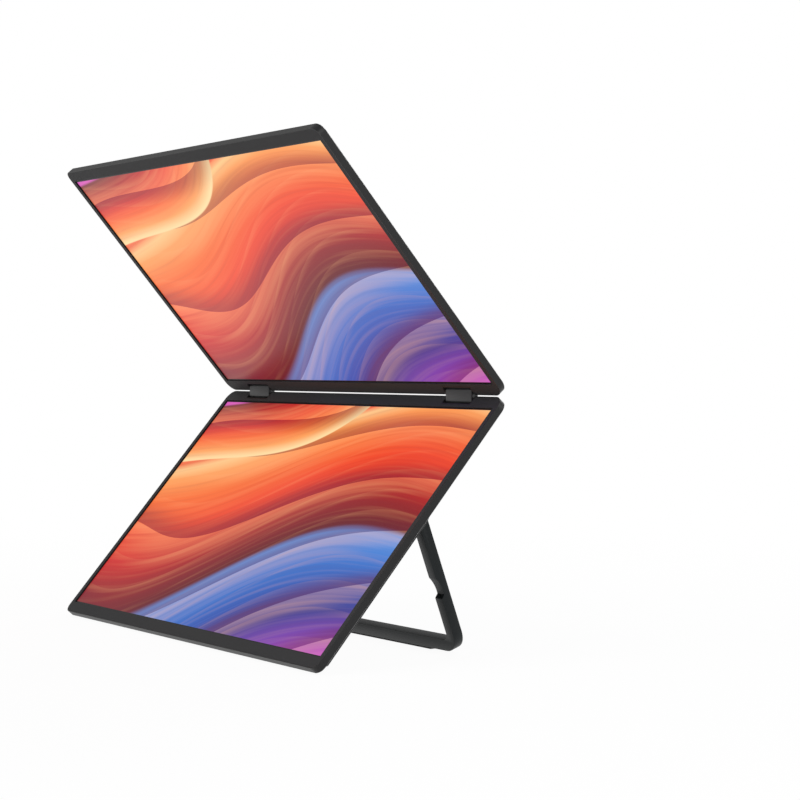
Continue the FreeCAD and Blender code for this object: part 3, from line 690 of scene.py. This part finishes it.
def refined(node: str, body: str, material: bpy.types.Material, edge: EdgeBreak) -> bpy.types.Object:
    """Return a finer copy of a CAD node, with smooth curves and broken edges, in its stead.

    Args:
        node: The CAD node.
        body: The body that it rides on.
        material: Its finish.
        edge: How its edges are broken.

    Returns:
        The new piece.
    """
    piece = bpy.data.objects.new(node + "_finished", frame["nodes"][node].data.copy())
    bpy.context.scene.collection.objects.link(piece)
    select_only(piece)
    bpy.ops.object.mode_set(mode="EDIT")
    bpy.ops.mesh.select_all(action="SELECT")
    bpy.ops.mesh.remove_doubles(threshold=WELD_DISTANCE)
    bpy.ops.mesh.dissolve_limited(angle_limit=FLAT_ANGLE)
    bpy.ops.object.mode_set(mode="OBJECT")
    bevel = piece.modifiers.new("broken_edges", "BEVEL")
    bevel.width = edge.width
    bevel.segments = edge.segments
    bevel.limit_method = "ANGLE"
    bevel.angle_limit = edge.sharpness
    bevel.use_clamp_overlap = False
    bpy.ops.object.modifier_apply(modifier=bevel.name)
    bpy.ops.object.shade_smooth_by_angle(angle=SMOOTH_ANGLE)
    dress(piece, material)
    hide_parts(node)
    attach(piece, body)
    LOG.info("refined %s: %d faces", node, len(piece.data.polygons))
    return piece


@dataclass(frozen=True)
class DisplayPair:
    """Both displays: screens, bezels, rear covers and what is inside them."""

    finishes: Finishes
    bezel_edge: EdgeBreak = EdgeBreak(0.12 * MM, 1)

    def build(self) -> None:
        """Dress every piece of both displays."""
        for word, panel in (("lower", LOWER), ("upper", UPPER)):
            self.dress_display(word, panel)

    def dress_display(self, word: str, panel: PanelFrame) -> None:
        """Dress one display.

        Args:
            word: The display's word in its nodes' names.
            panel: Where it lies.
        """
        nodes = frame["nodes"]
        dress(nodes[word + "_lcd_panel"], ScreenPicture(panel, word + "_picture").material())
        dress(nodes[word + "_back_cover"], CoverFinish(panel, word + "_cover_coat").material())
        dress(nodes[word + "_bezel"], self.finishes.bezel)
        dress(nodes[word + "_backlight"], self.finishes.film)
        dress(nodes[word + "_panel_board"], self.finishes.board)
        for metal in ("bracket_left", "bracket_right", "shaft_left", "shaft_right", "bracket_screws"):
            dress(nodes[f"{word}_{metal}"], self.finishes.steel)
        LOG.info("dressed the %s display", word)


@dataclass(frozen=True)
class HingePair:
    """The covers and torque blocks between the displays."""

    finishes: Finishes
    edge: EdgeBreak = EdgeBreak(0.06 * MM, 2)

    def build(self) -> None:
        """Refine the covers and dress the blocks inside them."""
        for side in ("left", "right"):
            refined("hinge_cover_" + side, "hinge_link", self.finishes.hinge, self.edge)
            dress(frame["nodes"]["torque_block_" + side], self.finishes.steel)


@dataclass(frozen=True)
class MarkMaker:
    """Small flat signs in white ink, built from plain outlines."""

    finishes: Finishes
    size: float = 3.4 * MM
    line: float = 0.42 * MM
    thickness: float = 0.04 * MM

    def bar(self, across: float, up: float, width: float, height: float) -> bpy.types.Object:
        """Return a thin bar of ink in the plane of the mark."""
        bpy.ops.mesh.primitive_cube_add(size=1.0, location=(across, up, self.thickness / 2))
        piece = bpy.context.object
        piece.scale = (width, height, self.thickness)
        bpy.ops.object.transform_apply(location=True, rotation=False, scale=True)
        return piece

    def ring(self, radius: float, squash: float = 1.0, sides: int = 32) -> bpy.types.Object:
        """Return a ring of ink about the mark's centre."""
        bpy.ops.mesh.primitive_circle_add(vertices=sides, radius=radius, fill_type="NGON")
        piece = bpy.context.object
        bpy.ops.object.mode_set(mode="EDIT")
        bpy.ops.mesh.select_all(action="SELECT")
        bpy.ops.mesh.inset(thickness=self.line, depth=0.0)
        bpy.ops.mesh.delete(type="FACE")
        bpy.ops.mesh.select_all(action="SELECT")
        bpy.ops.mesh.extrude_region_move(TRANSFORM_OT_translate={"value": (0.0, 0.0, self.thickness)})
        bpy.ops.mesh.select_all(action="SELECT")
        bpy.ops.mesh.normals_make_consistent(inside=False)
        bpy.ops.object.mode_set(mode="OBJECT")
        piece.scale = (1.0, squash, 1.0)
        bpy.ops.object.transform_apply(location=False, rotation=False, scale=True)
        return piece

    def pieces(self, mark: Mark) -> list[bpy.types.Object]:
        """Return the strokes of one sign."""
        half = self.size / 2
        third = self.size / 3
        if mark is Mark.PLUG:
            return [self.ring(half, 0.55), self.bar(0.0, 0.0, third * 1.4, self.line)]
        if mark is Mark.SCREEN:
            sides = [self.bar(side * half, third / 4, self.line, 2 * third) for side in (-1, 1)]
            ends = [self.bar(0.0, third / 4 + side * third, 2 * half, self.line) for side in (-1, 1)]
            return [*sides, *ends, self.bar(0.0, -half, third * 1.3, self.line)]
        if mark is Mark.POWER:
            return [self.ring(half * 0.85), self.bar(0.0, third, self.line, third * 1.6)]
        if mark is Mark.PLUS:
            return [self.bar(0.0, 0.0, self.size * 0.7, self.line), self.bar(0.0, 0.0, self.line, self.size * 0.7)]
        if mark is Mark.MINUS:
            return [self.bar(0.0, 0.0, self.size * 0.7, self.line)]
        return [self.bar(0.0, step * third * 0.8, self.size * 0.7, self.line) for step in (-1, 0, 1)]

    def make(self, mark: Mark, name: str, matrix: Matrix) -> bpy.types.Object:
        """Make one sign and set it on the housing.

        Args:
            mark: Which sign.
            name: The piece's name.
            matrix: The frame that it lies in.

        Returns:
            The finished piece.
        """
        strokes = self.pieces(mark)
        bpy.ops.object.select_all(action="DESELECT")
        for stroke in strokes:
            stroke.select_set(True)
        bpy.context.view_layer.objects.active = strokes[0]
        if len(strokes) > 1:
            bpy.ops.object.join()
        piece = bpy.context.view_layer.objects.active
        piece.name = name
        bpy.context.view_layer.update()
        bake_place(piece, matrix)
        dress(piece, self.finishes.ink)
        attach(piece, "lower_display")
        LOG.info("made %s", name)
        return piece


@dataclass(frozen=True)
class RearHousing:
    """The raised housing, its sockets, keys, boards, feet and signs."""

    finishes: Finishes
    housing_edge: EdgeBreak = EdgeBreak(0.15 * MM, 1)
    foot_edge: EdgeBreak = EdgeBreak(0.35 * MM, 2)
    key_edge: EdgeBreak = EdgeBreak(0.12 * MM, 2)
    back_face: float = 12.75 * MM
    sign_inset: float = 2.7 * MM
    half_width: float = 161.5 * MM

    def build(self) -> None:
        """Dress and refine everything on the rear of the lower display."""
        nodes = frame["nodes"]
        dress(nodes["rear_housing"], self.finishes.housing)
        for name in ("main_board", "port_board", "key_board"):
            dress(nodes[name], self.finishes.board)
        dress(nodes["board_shield"], self.finishes.tin)
        dress(nodes["board_standoffs"], self.finishes.brass)
        for name in ("board_screws", "friction_washers", "pivot_pin_left", "pivot_pin_right"):
            dress(nodes[name], self.finishes.steel)
        dress(nodes["key_switches"], self.finishes.key)
        for name, node in nodes.items():
            if "socket" in name:
                dress(node, self.finishes.key if name.endswith("tongue") else self.finishes.socket)
        for side in ("left", "right"):
            refined("foot_pad_" + side, "lower_display", self.finishes.rubber, self.foot_edge)
        for key in KEY_SIGNS:
            refined(key, key, self.finishes.key, self.key_edge)
        self.add_signs()

    def sign_matrix(self, node: str, side: int) -> Matrix:
        """Return where a node's sign lies on the housing's back face."""
        low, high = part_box(node)
        middle = (low + high) / 2 - LOWER.axis
        along = -middle.y * math.sin(PANEL_TILT) - middle.z * math.cos(PANEL_TILT)
        return LOWER.matrix(side * (self.half_width - self.sign_inset), self.back_face, along)

    def add_signs(self) -> None:
        """Print a sign beside each socket and key."""
        maker = MarkMaker(self.finishes)
        for side, signs in ((-1, SOCKET_SIGNS), (1, KEY_SIGNS)):
            for node, mark in signs.items():
                maker.make(mark, node + "_sign", self.sign_matrix(node, side))


@dataclass(frozen=True)
class Stand:
    """The folding U stand and its rubber strip."""

    finishes: Finishes
    edge: EdgeBreak = EdgeBreak(0.3 * MM, 2)
    pad_edge: EdgeBreak = EdgeBreak(0.2 * MM, 2)

    def build(self) -> None:
        """Refine the frame and its strip."""
        refined("stand_frame", "stand", self.finishes.stand, self.edge)
        refined("stand_pad", "stand", self.finishes.rubber, self.pad_edge)


@dataclass(frozen=True)
class Lamp:
    """One soft rectangular lamp that points at the object."""

    name: str
    place: tuple[float, float, float]
    width: float
    power: float
    target: tuple[float, float, float] = (0.0, 0.0, 0.15)

    def add(self) -> None:
        """Put the lamp in the scene."""
        data = bpy.data.lights.new(self.name, "AREA")
        data.size = self.width
        data.energy = self.power
        lamp = bpy.data.objects.new(self.name, data)
        bpy.context.scene.collection.objects.link(lamp)
        lamp.location = self.place
        lamp.rotation_euler = (Vector(self.target) - Vector(self.place)).to_track_quat("-Z", "Y").to_euler()


@dataclass(frozen=True)
class Studio:
    """The pale floor, the lamps, the white surroundings and the camera."""

    floor_size: float = 14.0
    floor_colour: Colour = (0.82, 0.82, 0.82)
    floor_white: float = 0.95
    surround: float = 0.5
    camera_place: tuple[float, float, float] = (1.2264, -0.7126, 0.1868)
    camera_turn: float = math.radians(56.226)
    focal_pixels: float = 2056.6
    picture_pixels: float = 800.0
    horizon_pixel: float = 363.3
    sensor: float = 36.0

    def build(self) -> None:
        """Set up everything round the object."""
        self.add_floor()
        self.add_world()
        self.add_camera()
        for lamp in (
            Lamp("key_lamp", (-0.4, -1.9, 2.1), 1.6, 26.0),
            Lamp("side_lamp", (2.4, 0.4, 1.6), 1.4, 20.0),
            Lamp("rear_lamp", (-1.2, 2.0, 1.7), 1.6, 24.0),
            Lamp("rear_fill_lamp", (1.6, 1.9, 1.0), 1.2, 10.0),
        ):
            lamp.add()
        bpy.context.scene.view_settings.view_transform = "Standard"

    def seen_directly(self, paint: Paint) -> Value:
        """Return 1 where a camera, glossy or transmitted ray looks."""
        paths = paint.node("ShaderNodeLightPath", {}, {}, "Is Camera Ray")
        outputs = paths.socket.node.outputs
        glossy, through = Value(paint, outputs["Is Glossy Ray"]), Value(paint, outputs["Is Transmission Ray"])
        return paths.most(glossy).most(through)

    def add_floor(self) -> None:
        """Lay the floor, which fades to white away from the object."""
        bpy.ops.mesh.primitive_plane_add(size=self.floor_size)
        floor = bpy.context.object
        floor.name = "studio_floor"
        paint = Paint("studio_floor")
        across, depth, _ = paint.parts_of(paint.point())
        far = (across * across + depth * depth).root().step(0.25, 1.1)
        white = self.floor_white + far * (1.0 - self.floor_white)
        glow = paint.node("ShaderNodeEmission", {}, {"Color": (1.0, 1.0, 1.0), "Strength": 1.0})
        paint.set(Base_Color=self.floor_colour, Roughness=0.9)
        lit = Value(paint, paint.surface.outputs[0])
        share = self.seen_directly(paint) * white
        mixed = paint.node("ShaderNodeMixShader", {}, {0: share, 1: lit, 2: glow})
        paint.tree.links.new(mixed.socket, paint.output.inputs[0])
        dress(floor, paint.material)

    def add_world(self) -> None:
        """Make the surroundings white to look at and softer as a light."""
        world = bpy.data.worlds.new("studio_surround")
        bpy.context.scene.world = world
        world.use_nodes = True
        nodes, links = world.node_tree.nodes, world.node_tree.links
        nodes.clear()
        output = nodes.new("ShaderNodeOutputWorld")
        shown, lighting = nodes.new("ShaderNodeBackground"), nodes.new("ShaderNodeBackground")
        lighting.inputs["Strength"].default_value = self.surround
        paths, mix = nodes.new("ShaderNodeLightPath"), nodes.new("ShaderNodeMixShader")
        for background in (shown, lighting):
            background.inputs["Color"].default_value = (1.0, 1.0, 1.0, 1.0)
        links.new(paths.outputs["Is Camera Ray"], mix.inputs[0])
        links.new(lighting.outputs[0], mix.inputs[1])
        links.new(shown.outputs[0], mix.inputs[2])
        links.new(mix.outputs[0], output.inputs[0])

    def add_camera(self) -> None:
        """Place the camera where the photograph was taken from."""
        data = bpy.data.cameras.new("camera")
        data.sensor_width = self.sensor
        data.lens = self.focal_pixels * self.sensor / self.picture_pixels
        data.shift_y = (self.horizon_pixel - self.picture_pixels / 2) / self.picture_pixels
        camera = bpy.data.objects.new("camera", data)
        bpy.context.scene.collection.objects.link(camera)
        camera.location = self.camera_place
        camera.rotation_euler = (math.pi / 2, 0.0, self.camera_turn)
        bpy.context.scene.camera = camera


def main() -> None:
    """Build every sub-assembly's looks and the studio."""
    logging.basicConfig(level=logging.INFO, format="%(message)s")
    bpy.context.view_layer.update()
    finishes = Finishes.make()
    for assembly in (DisplayPair(finishes), HingePair(finishes), RearHousing(finishes), Stand(finishes), Studio()):
        assembly.build()
        LOG.info("built %s", type(assembly).__name__)


if __name__ == "__main__":
    main()
